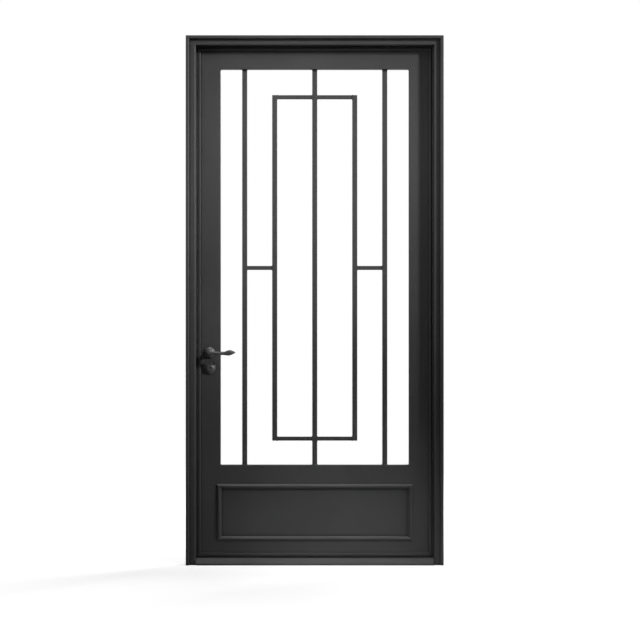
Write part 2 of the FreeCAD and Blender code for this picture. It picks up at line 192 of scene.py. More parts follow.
class MaterialTree(ShaderTree):
    """A new material with a Principled shader, and the patterns that its finishes are made of."""

    def __init__(self, name: str) -> None:
        """Make the material.

        Args:
            name: Name of the material.
        """
        self.material = bpy.data.materials.new(name)
        self.material.use_nodes = True
        super().__init__(self.material.node_tree)
        self.shader = self.nodes["Principled BSDF"]

    def place(self, stretch: Point, shift: float) -> Socket:
        """Object coordinates, stretched and shifted.

        Args:
            stretch: Scale along each axis.
            shift: Distance by which the pattern is moved, so that no two finishes match.

        Returns:
            Socket with the mapped coordinates.
        """
        coordinates = self.add("TexCoord")
        mapping = self.add("Mapping")
        mapping.inputs["Location"].default_value = (shift, 2 * shift, 3 * shift)
        mapping.inputs["Scale"].default_value = stretch
        self.join(coordinates.outputs["Object"], mapping.inputs["Vector"])
        return mapping.outputs["Vector"]

    def noise(self, place: Socket, size: float, detail: float) -> Socket:
        """Noise with features of a given size.

        Args:
            place: Coordinates to read.
            size: Size of the largest features, in metres.
            detail: Octaves of finer features.

        Returns:
            Socket with the noise, from 0 to 1.
        """
        texture = self.add("TexNoise")
        texture.inputs["Scale"].default_value = 1 / size
        texture.inputs["Detail"].default_value = detail
        self.join(place, texture.inputs["Vector"])
        return texture.outputs["Fac"]

    def tint(self, share: Socket, under: Socket | Color, over: Color) -> Socket:
        """Lay one colour over another.

        Args:
            share: How much of the upper colour shows.
            under: Lower colour, as a socket or a plain colour.
            over: Upper colour.

        Returns:
            Socket with the mixed colour.
        """
        node = self.add("Mix", data_type="RGBA")
        self.join(share, node.inputs["Factor"])
        if isinstance(under, tuple):
            node.inputs[MIX_UNDER].default_value = (*under, 1)
        else:
            self.join(under, node.inputs[MIX_UNDER])
        node.inputs[MIX_OVER].default_value = (*over, 1)
        return node.outputs[MIX_RESULT]

    def edges(self, radius: float) -> Socket:
        """Mask that is 1 along sharp edges and 0 on open faces.

        Args:
            radius: Reach of the edge, in metres.

        Returns:
            Socket with the mask.
        """
        rounded = self.add("Bevel", samples=EDGE_SAMPLES)
        rounded.inputs["Radius"].default_value = radius
        geometry = self.add("NewGeometry")
        likeness = self.add("VectorMath", operation="DOT_PRODUCT")
        self.join(rounded.outputs["Normal"], likeness.inputs[0])
        self.join(geometry.outputs["Normal"], likeness.inputs[1])
        return self.spread(likeness.outputs["Value"], EDGE_TURN)

    def creases(self, reach: float) -> Socket:
        """Mask that is 1 deep in a groove or an inner corner and 0 on open faces, from ambient occlusion; it
        paints shade into the colour.

        Args:
            reach: Distance at which another face still counts, in metres.

        Returns:
            Socket with the mask.
        """
        shelter = self.add("AmbientOcclusion", samples=CREASE_SAMPLES)
        shelter.inputs["Distance"].default_value = reach
        return self.spread(shelter.outputs["AO"], CREASE_SHELTER)

    def relief(self, heights: list[tuple[Socket, float]]) -> None:
        """Raise the surface by several patterns.

        Args:
            heights: Patterns from 0 to 1, each with its depth in metres.
        """
        normal = None
        for height, depth in heights:
            bump = self.add("Bump")
            bump.inputs["Strength"].default_value = 1.0
            bump.inputs["Distance"].default_value = depth
            self.join(height, bump.inputs["Height"])
            if normal is not None:
                self.join(normal, bump.inputs["Normal"])
            normal = bump.outputs["Normal"]
        self.join(normal, self.shader.inputs["Normal"])


@dataclass(frozen=True)
class PaintFinish:
    """Satin charcoal paint, sprayed on rubbed-down steel, with painted shade in its grooves and inner
    corners.
    """

    slot: str
    shift: float
    color: Color = (0.045, 0.045, 0.046)
    cloud_color: Color = (0.056, 0.056, 0.057)
    rubbed_color: Color = (0.085, 0.085, 0.087)
    dust_color: Color = (0.13, 0.125, 0.12)
    # Painted shade: colour laid into grooves and inner corners where ambient occlusion finds them.
    crease_shade_color: Color = (0.016, 0.016, 0.016)
    cloud_size: float = 0.35
    cloud_band: Limits = (0.35, 0.7, 0.0, 1.0)
    mark_size: float = 4 * MM
    mark_band: Limits = (0.5, 0.8, 0.0, 0.35)
    rubbed_band: Limits = (0.3, 0.65, 0.15, 0.7)
    dust_band: Limits = (0.3, 0.7, 0.0, 0.25)
    crease_shade_band: Limits = (0.0, 1.0, 0.0, 0.85)
    rough_band: Limits = (0.3, 0.7, 0.40, 0.54)
    peel_band: Limits = (0.3, 0.7, 0.0, 0.04)
    gloss: float = 0.3
    peel_size: float = 2.2 * MM
    peel_depth: float = 0.03 * MM
    wave_size: float = 0.16
    wave_depth: float = 0.25 * MM
    edge_reach: float = 2.5 * MM
    crease_shade_reach: float = 12 * MM

    def material(self, grain: Grain) -> Material:
        """Build the paint for pieces whose marks run one way.

        Args:
            grain: Way that the marks run.

        Returns:
            The material.
        """
        tree = MaterialTree(f"{self.slot}_{grain.value}")
        plain = tree.place(EVEN, self.shift)
        along = tree.place(grain.stretch, self.shift)
        clouds = tree.noise(plain, self.cloud_size, detail=3.0)
        marks = tree.noise(along, self.mark_size, detail=2.0)
        peel = tree.noise(plain, self.peel_size, detail=1.0)
        waves = tree.noise(plain, self.wave_size, detail=1.0)
        rubbing = tree.spread(clouds, self.rubbed_band)
        settling = tree.spread(clouds, self.dust_band)
        facing_up = tree.component("Normal", "Z", FACING_UP)
        coats = (
            (tree.spread(marks, self.mark_band), self.cloud_color),
            (tree.combine("MULTIPLY", tree.edges(self.edge_reach), rubbing), self.rubbed_color),
            (tree.combine("MULTIPLY", facing_up, settling), self.dust_color),
            # Painted shade: the colour darkens in grooves and inner corners.
            (tree.spread(tree.creases(self.crease_shade_reach), self.crease_shade_band), self.crease_shade_color),
        )
        body = tree.tint(tree.spread(clouds, self.cloud_band), self.color, self.cloud_color)
        for share, color in coats:
            body = tree.tint(share, body, color)
        tree.join(body, tree.shader.inputs["Base Color"])
        rough = tree.combine("ADD", tree.spread(marks, self.rough_band), tree.spread(peel, self.peel_band))
        tree.join(rough, tree.shader.inputs["Roughness"])
        tree.shader.inputs["Specular IOR Level"].default_value = self.gloss
        tree.relief([(waves, self.wave_depth), (marks, self.peel_depth / 2), (peel, self.peel_depth)])
        return tree.material

    def both_grains(self) -> dict[Grain, Material]:
        """The paint for upright and for level pieces, by grain."""
        return {grain: self.material(grain) for grain in Grain}

    def unrubbed(self) -> "PaintFinish":
        """The same paint with no wear along its edges."""
        return replace(self, rubbed_color=self.cloud_color)


@dataclass(frozen=True)
class HandleFinish:
    """Blackened metal, rubbed brighter where hands and keys touch it."""

    slot: str
    shift: float = 0.37
    color: Color = (0.07, 0.07, 0.072)
    rubbed_color: Color = (0.13, 0.13, 0.132)
    rubbed_band: Limits = (0.3, 0.6, 0.2, 0.8)
    rough_band: Limits = (0.3, 0.7, 0.34, 0.48)
    metal: float = 0.1
    gloss: float = 0.5
    cast_size: float = 5 * MM
    cast_depth: float = 0.12 * MM
    grit_size: float = 0.7 * MM
    grit_depth: float = 0.02 * MM
    edge_reach: float = 1.6 * MM

    def material(self) -> Material:
        """Build the finish.

        Returns:
            The material.
        """
        tree = MaterialTree(self.slot)
        plain = tree.place(EVEN, self.shift)
        cast = tree.noise(plain, self.cast_size, detail=2.0)
        grit = tree.noise(plain, self.grit_size, detail=2.0)
        rubbing = tree.combine("MULTIPLY", tree.edges(self.edge_reach), tree.spread(cast, self.rubbed_band))
        tree.join(tree.tint(rubbing, self.color, self.rubbed_color), tree.shader.inputs["Base Color"])
        tree.join(tree.spread(grit, self.rough_band), tree.shader.inputs["Roughness"])
        tree.shader.inputs["Metallic"].default_value = self.metal
        tree.shader.inputs["Specular IOR Level"].default_value = self.gloss
        tree.relief([(cast, self.cast_depth), (grit, self.grit_depth)])
        return tree.material


@dataclass(frozen=True)
class SteelFinish:
    """Brushed stainless steel of the lock's plates, brushed along their length."""

    slot: str
    color: Color = (0.42, 0.42, 0.43)
    smear_color: Color = (0.30, 0.30, 0.31)
    smear_shift: float = 0.23
    smear_size: float = 20 * MM
    smear_band: Limits = (0.4, 0.7, 0.0, 0.6)
    brush_shift: float = 0.11
    brush_size: float = 0.5 * MM
    brush_depth: float = 0.008 * MM
    rough_band: Limits = (0.3, 0.7, 0.24, 0.42)
    metal: float = 1.0

    def material(self) -> Material:
        """Build the finish.

        Returns:
            The material.
        """
        tree = MaterialTree(self.slot)
        along = tree.place(Grain.UPRIGHT.stretch, self.brush_shift)
        brushing = tree.noise(along, self.brush_size, detail=3.0)
        smears = tree.noise(tree.place(EVEN, self.smear_shift), self.smear_size, detail=2.0)
        shade = tree.spread(smears, self.smear_band)
        tree.join(tree.tint(shade, self.color, self.smear_color), tree.shader.inputs["Base Color"])
        tree.join(tree.spread(brushing, self.rough_band), tree.shader.inputs["Roughness"])
        tree.shader.inputs["Metallic"].default_value = self.metal
        tree.relief([(brushing, self.brush_depth)])
        return tree.material


class ShapeTree:
    """A geometry node tree with named inputs, which ends in realized instances and a material."""

    def __init__(self, name: str, **kinds: str) -> None:
        """Start the tree with its geometry sockets, its named inputs and an input for the material.

        Args:
            name: Name of the tree.
            kinds: Socket type of each named input, without its NodeSocket prefix.
        """
        self.tree = bpy.data.node_groups.new(name, "GeometryNodeTree")
        self.identifiers: dict[str, str] = {}
        for way in ("INPUT", "OUTPUT"):
            self.tree.interface.new_socket("Geometry", in_out=way, socket_type="NodeSocketGeometry")
        for key, kind in {**kinds, "Material": "Material"}.items():
            socket = self.tree.interface.new_socket(key, in_out="INPUT", socket_type=f"NodeSocket{kind}")
            self.identifiers[key] = socket.identifier
        self.source = self.tree.nodes.new("NodeGroupInput")

    def add(self, kind: str, inputs: dict[str | int, object], **settings: object) -> bpy.types.Node:
        """Add a node.

        Args:
            kind: Full node type.
            inputs: Values or sockets for its inputs, by name or index.
            settings: Properties of the node to set first.

        Returns:
            The new node.
        """
        node = self.tree.nodes.new(kind)
        for key, value in settings.items():
            setattr(node, key, value)
        for key, value in inputs.items():
            if isinstance(value, Socket):
                self.tree.links.new(value, node.inputs[key])
            else:
                node.inputs[key].default_value = value
        return node

    def math(self, operation: str, *values: object) -> Socket:
        """Socket with the result of an operation on one to three values or sockets."""
        node = self.add("ShaderNodeMath", dict(enumerate(values)), operation=operation)
        return node.outputs[0]

    def close(self, geometry: Socket, smooth: bool) -> None:
        """Realize the geometry, give it its shading and its material, and end the tree.

        Args:
            geometry: Geometry to finish.
            smooth: True for smooth shading, False for flat faces.
        """
        realized = self.add("GeometryNodeRealizeInstances", {"Geometry": geometry})
        shading = {"Geometry": realized.outputs[0], "Shade Smooth": smooth}
        shaded = self.add("GeometryNodeSetShadeSmooth", shading)
        dressing = {"Geometry": shaded.outputs[0], "Material": self.source.outputs["Material"]}
        dressed = self.add("GeometryNodeSetMaterial", dressing)
        self.add("NodeGroupOutput", {"Geometry": dressed.outputs[0]})

    def run(self, name: str, points: Mesh, values: dict[str, object]) -> Piece:
        """Run the tree on a mesh and keep the result as a plain mesh.

        Args:
            name: Name of the finished piece.
            points: Mesh that the tree starts from.
            values: Values of the tree's named inputs.

        Returns:
            The finished piece, at the origin.
        """
        carrier = bpy.data.objects.new(f"{name}_carrier", points)
        bpy.context.scene.collection.objects.link(carrier)
        modifier = carrier.modifiers.new(self.tree.name, "NODES")
        modifier.node_group = self.tree
        for key, value in values.items():
            modifier[self.identifiers[key]] = value
        graph = bpy.context.evaluated_depsgraph_get()
        mesh = bpy.data.meshes.new_from_object(carrier.evaluated_get(graph))
        carrier.modifiers.remove(modifier)
        bpy.data.objects.remove(carrier)
        for index in reversed(range(len(mesh.materials))):
            if mesh.materials[index] is None:
                mesh.materials.pop(index=index)
        mesh.name = name
        return new_piece(name, mesh)


@dataclass(frozen=True)
class Bead:
    """A round bead along a path, sunk into what carries it: rippled as weld is, or smooth as trim is."""

    radius: float = 1.8 * MM
    pitch: float = 2.4 * MM
    ripple: float = 0.16
    unevenness: float = 0.22
    wander_scale: float = 160.0
    steps: int = 5
    sides: int = 10
    seed: float = 4.0

    @classmethod
    def smooth(cls, radius: float) -> "Bead":
        """A bead with no ripples, as trim has."""
        return cls(radius=radius, pitch=0.1, ripple=0.0, unevenness=0.0)

    def tree(self) -> ShapeTree:
        """Build the bead's node tree.

        Returns:
            The tree, with inputs for the bead's sizes.
        """
        sizes = ("Radius", "Pitch", "Ripple", "Unevenness", "Seed")
        shape = ShapeTree("bead", **dict.fromkeys(sizes, "Float"))
        given = shape.source.outputs
        step = shape.math("DIVIDE", given["Pitch"], float(self.steps))
        path = shape.add("GeometryNodeMeshToCurve", {"Mesh": given["Geometry"]})
        spacing = {"Curve": path.outputs[0], "Length": step}
        fine = shape.add("GeometryNodeResampleCurve", spacing, mode="LENGTH")
        travel = shape.add("GeometryNodeSplineParameter", {})
        swept = shape.math("MULTIPLY", travel.outputs["Length"], math.pi)
        turn = shape.math("DIVIDE", swept, given["Pitch"])
        scallop = shape.math("ABSOLUTE", shape.math("SINE", turn))
        wandering = {"W": given["Seed"], "Scale": self.wander_scale, "Detail": 1.0}
        wander = shape.add("ShaderNodeTexNoise", wandering, noise_dimensions="4D")
        drift = shape.math("SUBTRACT", wander.outputs[0], 0.5)
        swell = shape.math("MULTIPLY_ADD", scallop, given["Ripple"], 1.0)
        swell = shape.math("MULTIPLY_ADD", drift, given["Unevenness"], swell)
        circle = {"Resolution": self.sides, "Radius": given["Radius"]}
        section = shape.add("GeometryNodeCurvePrimitiveCircle", circle)
        sweep = {"Curve": fine.outputs[0], "Profile Curve": section.outputs[0], "Scale": swell}
        bead = shape.add("GeometryNodeCurveToMesh", {**sweep, "Fill Caps": True})
        shape.close(bead.outputs[0], smooth=True)
        return shape

    def lay(self, name: str, paths: list[Path], material: Material, closed: bool = False) -> Piece:
        """Lay one bead along each path.

        Args:
            name: Name of the finished piece.
            paths: Points of each path.
            material: Paint over the beads.
            closed: True where each path returns to its start.

        Returns:
            The beads as one piece.
        """
        values = {
            "Radius": self.radius,
            "Pitch": self.pitch,
            "Ripple": self.ripple,
            "Unevenness": self.unevenness,
            "Seed": self.seed,
            "Material": material,
        }
        return self.tree().run(name, path_mesh(f"{name}_paths", paths, closed), values)


@dataclass(frozen=True)
class EndCap:
    """A plate set into the open end of a square tube."""

    width: float = 17 * MM
    thickness: float = 2 * MM
    sunk: float = 0.4 * MM

    def tree(self) -> ShapeTree:
        """Build the caps' node tree.

        Returns:
            The tree, with inputs for a cap's sizes.
        """
        shape = ShapeTree("end_caps", Size="Vector")
        given = shape.source.outputs
        plate = shape.add("GeometryNodeMeshCube", {"Size": given["Size"]})
        placing = {"Points": given["Geometry"], "Instance": plate.outputs["Mesh"]}
        caps = shape.add("GeometryNodeInstanceOnPoints", placing)
        shape.close(caps.outputs[0], smooth=False)
        return shape

    def fit(self, name: str, tubes: tuple[str, ...], material: Material) -> Piece:
        """Close both ends of upright tubes.

        Args:
            name: Name of the finished piece.
            tubes: Names of the tubes.
            material: Paint of the caps.

        Returns:
            The caps as one piece.
        """
        inset = self.sunk + self.thickness / 2
        places = []
        for tube in tubes:
            low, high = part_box(tube)
            middle = (low + high) / 2
            places += [[Vector((middle.x, middle.y, level))] for level in (low.z + inset, high.z - inset)]
        values = {"Size": (self.width, self.width, self.thickness), "Material": material}
        return self.tree().run(name, path_mesh(f"{name}_places", places), values)


@dataclass(frozen=True)
class PlateScrew:
    """A countersunk screw with a cross recess, flush in a plate."""

    radius: float = 4.2 * MM
    crown: float = 0.3 * MM
    chamfer: float = 0.5 * MM
    recess_reach: float = 2.4 * MM
    recess_half: float = 0.55 * MM
    recess_depth: float = 1.3 * MM
    sunk: float = 1.4 * MM
    foot_radius: float = 2.8 * MM
    sides: int = 16
    seed: int = 5

    def head(self) -> Mesh:
        """Model one head, which looks along +Z.

        Returns:
            Its mesh.
        """
        shape = bmesh.new()
        foot, rim = (self.foot_radius, -self.sunk), (self.radius, 0.0)
        top = (self.radius - self.chamfer, self.crown)
        angles = [math.tau * step / self.sides for step in range(self.sides)]
        rings = [
            [shape.verts.new((radius * math.cos(a), radius * math.sin(a), level)) for a in angles]
            for radius, level in (foot, rim, top)
        ]
        far, near = self.recess_reach, self.recess_half
        outline = []
        for x, y in ((1, 0), (0, 1), (-1, 0), (0, -1)):
            outline += [(far * x + near * y, far * y - near * x), (far * x - near * y, far * y + near * x)]
            outline.append((near * (x - y), near * (x + y)))
        for level in (self.crown, self.crown - self.recess_depth):
            rings.append([shape.verts.new((x, y, level)) for x, y in outline])
        for first, second in ((0, 1), (1, 2), (3, 4)):
            bridge(shape, rings[first], rings[second])
        border = [
            shape.edges.get((ring[step - 1], ring[step])) for ring in rings[2:4] for step in range(len(ring))
        ]
        bmesh.ops.triangle_fill(shape, use_beauty=True, edges=border)
        shape.faces.new(rings[0])
        shape.faces.new(rings[4])
        return closed_mesh("screw_head", shape)

    def tree(self) -> ShapeTree:
        """Build the screws' node tree.

        Returns:
            The tree, with inputs for the head, the way that it faces and the seed of its turn.
        """
        shape = ShapeTree("plate_screws", Head="Object", Facing="Vector", Seed="Int")
        given = shape.source.outputs
        head = shape.add("GeometryNodeObjectInfo", {"Object": given["Head"]})
        facing = shape.add("FunctionNodeAlignRotationToVector", {"Vector": given["Facing"]}, axis="Z")
        chance = {RANDOM_MOST: math.tau, "Seed": given["Seed"]}
        turn = shape.add("FunctionNodeRandomValue", chance, data_type="FLOAT")
        angles = shape.add("ShaderNodeCombineXYZ", {"Z": turn.outputs[RANDOM_RESULT]})
        spin = shape.add("FunctionNodeEulerToRotation", {"Euler": angles.outputs[0]})
        turning = {"Rotation": facing.outputs[0], "Rotate By": spin.outputs[0]}
        turned = shape.add("FunctionNodeRotateRotation", turning, rotation_space="LOCAL")
        placing = {"Points": given["Geometry"], "Instance": head.outputs["Geometry"]}
        screws = shape.add("GeometryNodeInstanceOnPoints", {**placing, "Rotation": turned.outputs[0]})
        shape.close(screws.outputs[0], smooth=False)
        return shape

    def drive(self, name: str, places: Path, facing: Point, material: Material) -> Piece:
        """Set screws in a plate.

        Args:
            name: Name of the finished piece.
            places: Points on the plate's face.
            facing: Way that the plate faces.
            material: Finish of the screws.

        Returns:
            The screws as one piece.
        """
        head = new_piece("screw_head", self.head())
        points = path_mesh(f"{name}_places", [[place] for place in places])
        values = {"Head": head, "Facing": facing, "Seed": self.seed, "Material": material}
        screws = self.tree().run(name, points, values)
        bpy.data.objects.remove(head)
        return screws


def bridge(shape: bmesh.types.BMesh, first: Ring, second: Ring) -> None:
    """Join two rings of as many points by a band of faces."""
    for step in range(len(first)):
        shape.faces.new((first[step - 1], first[step], second[step], second[step - 1]))


def closed_mesh(name: str, shape: bmesh.types.BMesh) -> Mesh:
    """Turn a closed shape into a mesh whose faces point outwards.

    Args:
        name: Name of the mesh.
        shape: The shape, which is used up.

    Returns:
        The mesh.
    """
    bmesh.ops.recalc_face_normals(shape, faces=shape.faces)
    mesh = bpy.data.meshes.new(name)
    shape.to_mesh(mesh)
    shape.free()
    return mesh


def new_piece(name: str, mesh: Mesh) -> Piece:
    """Put a mesh in the scene as a piece at the origin.

    Args:
        name: Name of the piece.
        mesh: Its mesh, placed in the door's frame.

    Returns:
        The new object.
    """
    piece = bpy.data.objects.new(name, mesh)
    bpy.context.scene.collection.objects.link(piece)
    return piece


def settle(piece: Piece, body: str) -> None:
    """Fix a finished piece to a body and report it.

    Args:
        piece: The finished piece.
        body: Body that it moves with.
    """
    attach(piece, body)
    LOG.info("%s on %s: %d faces", piece.name, body, len(piece.data.polygons))


def paint_nodes(names: tuple[str, ...], material: Material) -> None:
    """Give CAD nodes a better material.

    Args:
        names: Names of the nodes.
        material: Material for all their slots.
    """
    for name in names:
        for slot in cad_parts[name].material_slots:
            slot.material = material
        LOG.info("%s dressed in %s", name, material.name)


def path_mesh(name: str, paths: list[Path], closed: bool = False) -> Mesh:
    """A mesh of edges along several paths.

    Args:
        name: Name of the mesh.
        paths: Points of each path.
        closed: True where each path returns to its start.

    Returns:
        The mesh.
    """
    mesh = bpy.data.meshes.new(name)
    points: Path = []
    edges: list[tuple[int, int]] = []
    for path in paths:
        start = len(points)
        points.extend(path)
        edges.extend((start + step, start + step + 1) for step in range(len(path) - 1))
        if closed:
            edges.append((start + len(path) - 1, start))
    mesh.from_pydata(points, edges, [])
    return mesh


def tube_loop(low: Vector, high: Vector, axis: Axis, level: float, radius: float) -> Path:
    """Rounded rectangle round a square tube, in the plane of one of its ends.

    Args:
        low: Lowest corner of the tube.
        high: Highest corner of the tube.
        axis: Axis that the tube runs along.
        level: Place of the end along that axis.
        radius: Radius of the tube's corners.

    Returns:
        Points of the closed path.
    """
    first, second = axis.across
    loop: Path = []
    for quarter in range(4):
        corner_x = (high[first], low[first], low[first], high[first])[quarter]
        corner_y = (high[second], high[second], low[second], low[second])[quarter]
        inward_x = (-1, 1, 1, -1)[quarter]
        inward_y = (-1, -1, 1, 1)[quarter]
        for turn in (0, 45, 90):
            angle = math.radians(90 * quarter + turn)
            point = Vector((0, 0, 0))
            point[axis.value] = level
            point[first] = corner_x + radius * (inward_x + math.cos(angle))
            point[second] = corner_y + radius * (inward_y + math.sin(angle))
            loop.append(point)
    return loop


@dataclass
class Grille:
    """Welded bars of square tube in the leaf's opening."""

    uprights: tuple[str, ...] = ("left_side_bar", "center_bar", "right_side_bar")
    inner_uprights: tuple[str, ...] = ("left_inner_bar", "right_inner_bar")
    cross_pairs: tuple[str, ...] = ("top_inner_bar", "bottom_inner_bar")
    ties: tuple[str, ...] = ("left_tie", "right_tie")
    tube_radius: float = 2 * MM
    bead: Bead = Bead()
    cap: EndCap = EndCap()

    def loops(self) -> list[Path]:
        """Paths of the welds round the bars' ends.

        Returns:
            One closed path for each welded end.
        """
        ends = []
        for name in self.uprights:
            low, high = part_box(name)
            ends.append((low, high, Axis.Z, (low.z, high.z)))
        centre_low, centre_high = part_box("center_bar")
        for name in self.cross_pairs:
            low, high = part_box(name)
            ends.append((low, high, Axis.X, (low.x, centre_low.x, centre_high.x, high.x)))
        for name in self.ties:
            low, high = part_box(name)
            ends.append((low, high, Axis.X, (low.x, high.x)))
        radius = self.tube_radius
        return [tube_loop(low, high, axis, at, radius) for low, high, axis, levels in ends for at in levels]

    def corner_paths(self) -> list[Path]:
        """Paths of the welds in the corners of the opening, through the leaf's thickness.

        Returns:
            One open path for each corner.
        """
        left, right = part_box("lock_stile")[1].x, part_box("hinge_stile")[0].x
        low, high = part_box("lock_rail")[1].z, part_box("top_rail")[0].z
        front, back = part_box("lock_rail")[0].y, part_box("lock_rail")[1].y
        reach = (front + self.bead.radius, back - self.bead.radius)
        return [[Vector((x, y, z)) for y in reach] for x in (left, right) for z in (low, high)]

    def build(self, paint: PaintFinish) -> None:
        """Paint the bars, add their welds and close the open ends.

        Args:
            paint: Paint of the bars.
        """
        paints = paint.both_grains()
        upright = paints[Grain.UPRIGHT]
        paint_nodes(self.uprights + self.inner_uprights, upright)
        paint_nodes(self.cross_pairs + self.ties, paints[Grain.CROSSWISE])
        settle(self.bead.lay("bar_welds", self.loops(), upright, closed=True), "leaf")
        settle(self.bead.lay("corner_welds", self.corner_paths(), upright), "leaf")
        settle(self.cap.fit("bar_end_caps", self.inner_uprights, upright), "leaf")


@dataclass
class DoorLeaf:
    """Stiles, rails, raised edge, stops and panelled foot of the leaf."""

    upright_nodes: tuple[str, ...] = (
        "left_rim", "right_rim", "lock_stile", "hinge_stile", "left_stop", "right_stop",
    )
    level_nodes: tuple[str, ...] = (
        "top_rim", "bottom_rim", "top_rail", "lock_rail", "bottom_rail", "top_stop", "bottom_stop",
    )
    panel_uprights: tuple[str, ...] = ("left_moulding", "right_moulding")
    panel_levels: tuple[str, ...] = ("kick_panel", "top_moulding", "bottom_moulding")
    rails: tuple[str, ...] = ("top_rail", "lock_rail", "bottom_rail")
    edge_radius: float = 2 * MM
    dressed_proud: float = 0.06 * MM
    arc_steps: int = 5
    drip: Bead = Bead.smooth(1.6 * MM)
    drip_sunk: float = 0.6 * MM
    drip_behind_rim: float = 1 * MM

    def drip_path(self) -> Path:
        """Path of the bead under the leaf's lower edge, which narrows the gap over the sill.

        Returns:
            Points of the open path.
        """
        low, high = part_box("bottom_rim")
        inset = self.drip.radius
        depth, level = low.y + self.drip_behind_rim, low.z + self.drip_sunk - inset
        return [Vector((x, depth, level)) for x in (low.x + inset, high.x - inset)]

    def seam_section(self) -> list[tuple[float, float]]:
        """Section of a joint that is filled with weld and dressed flush.

        Returns:
            Points as distance into the stile and depth from its face.
        """
        radius = self.edge_radius
        points = [(0.0, -self.dressed_proud), (radius, -self.dressed_proud)]
        for step in range(self.arc_steps + 1):
            angle = math.pi / 2 * step / self.arc_steps
            points.append((radius - radius * math.sin(angle), radius - radius * math.cos(angle)))
        return points

    def seams(self) -> Mesh:
        """Dressed welds that fill the grooves between the rails and the stiles, on both faces.

        Returns:
            The mesh.
        """
        shape = bmesh.new()
        section = self.seam_section()
        for name in self.rails:
            low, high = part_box(name)
            ends = (low.z + self.edge_radius, high.z - self.edge_radius)
            for edge, into in ((low.x, -1), (high.x, 1)):
                for face, inward in ((low.y, 1), (high.y, -1)):
                    outline = [(edge + into * out, face + inward * deep) for out, deep in section]
                    rings = [[shape.verts.new((x, y, z)) for x, y in outline] for z in ends]
                    bridge(shape, *rings)
                    for ring in rings:
                        shape.faces.new(ring)
        return closed_mesh("dressed_seams", shape)

    def build(self, leaf: PaintFinish, panel: PaintFinish) -> None:
        """Paint the leaf, fill its welded joints and lay the bead under its lower edge.

        Args:
            leaf: Paint of the stiles, rails and edge.
            panel: Paint of the panel and its moulding.
        """
        leaf_paints, panel_paints = leaf.both_grains(), panel.both_grains()
        paint_nodes(self.upright_nodes, leaf_paints[Grain.UPRIGHT])
        paint_nodes(self.level_nodes, leaf_paints[Grain.CROSSWISE])
        paint_nodes(self.panel_uprights, panel_paints[Grain.UPRIGHT])
        paint_nodes(self.panel_levels, panel_paints[Grain.CROSSWISE])
        seams = self.seams()
        seams.materials.append(leaf.unrubbed().material(Grain.UPRIGHT))
        settle(new_piece("dressed_seams", seams), "leaf")
        drip = self.drip.lay("drip_bead", [self.drip_path()], leaf_paints[Grain.CROSSWISE])
        settle(drip, "leaf")


@dataclass
class DoorFrame:
    """Jambs, head, sill and hinges, and the bead in the frame's reveal."""

    uprights: tuple[str, ...] = ("left_jamb", "right_jamb")
    levels: tuple[str, ...] = ("head", "sill")
    hinges: tuple[int, ...] = (1, 2, 3)
    weld: Bead = Bead(seed=9.0)
    trim: Bead = Bead.smooth(2.4 * MM)
    trim_sunk: float = 0.2 * MM
    trim_behind_rim: float = 1 * MM

    def trim_paths(self) -> list[Path]:
        """Paths of the bead that narrows the gap round the leaf, up both jambs and along the head.

        Returns:
            One open path for each side.
        """
        inset = self.trim.radius - self.trim_sunk
        left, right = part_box("left_jamb")[1].x + inset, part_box("right_jamb")[0].x - inset
        foot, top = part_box("sill")[1].z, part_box("head")[0].z - inset
        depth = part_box("left_rim")[0].y + self.trim_behind_rim
        sides = (((left, foot), (left, top)), ((right, foot), (right, top)), ((left, top), (right, top)))
        return [[Vector((x, depth, z)) for x, z in side] for side in sides]

    def pad_paths(self) -> list[Path]:
        """Paths of the welds that hold the fixed hinge halves to the jamb.

        Returns:
            One open path for each hinge, round three sides of its pad.
        """
        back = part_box("right_jamb")[1].y
        paths = []
        for number in self.hinges:
            low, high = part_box(f"frame_knuckle_{number}")
            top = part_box(f"leaf_knuckle_{number}")[0].z
            corners = ((low.x, low.z), (high.x, low.z), (high.x, top), (low.x, top))
            paths.append([Vector((x, back, z)) for x, z in corners])
        return paths

    def plate_paths(self) -> list[Path]:
        """Paths of the welds that hold the moving hinge halves to the leaf's stop bar.

        Returns:
            One open path for each hinge, round three sides of its plate.
        """
        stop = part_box("right_stop")[1]
        paths = []
        for number in self.hinges:
            low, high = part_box(f"leaf_knuckle_{number}")
            corners = ((stop.x, low.z), (low.x, low.z), (low.x, high.z), (stop.x, high.z))
            paths.append([Vector((x, stop.y, z)) for x, z in corners])
        return paths

    def build(self, paint: PaintFinish, hinge: PaintFinish) -> None:
        """Paint the frame, weld its hinges on and line the reveal with its bead.

        Args:
            paint: Paint of the frame.
            hinge: Paint of the hinges.
        """
        paints, hinge_paint = paint.both_grains(), hinge.material(Grain.UPRIGHT)
        paint_nodes(self.uprights, paints[Grain.UPRIGHT])
        paint_nodes(self.levels, paints[Grain.CROSSWISE])
        for number in self.hinges:
            paint_nodes((f"frame_knuckle_{number}", f"leaf_knuckle_{number}"), hinge_paint)
        settle(self.weld.lay("frame_hinge_welds", self.pad_paths(), hinge_paint), "frame")
        settle(self.weld.lay("leaf_hinge_welds", self.plate_paths(), hinge_paint), "leaf")
        trim = self.trim.lay("reveal_bead", self.trim_paths(), paints[Grain.UPRIGHT])
        settle(trim, "frame")


class Face(Enum):
    """Face of the leaf that a plate sits on."""

    OUTSIDE = -1
    INSIDE = 1


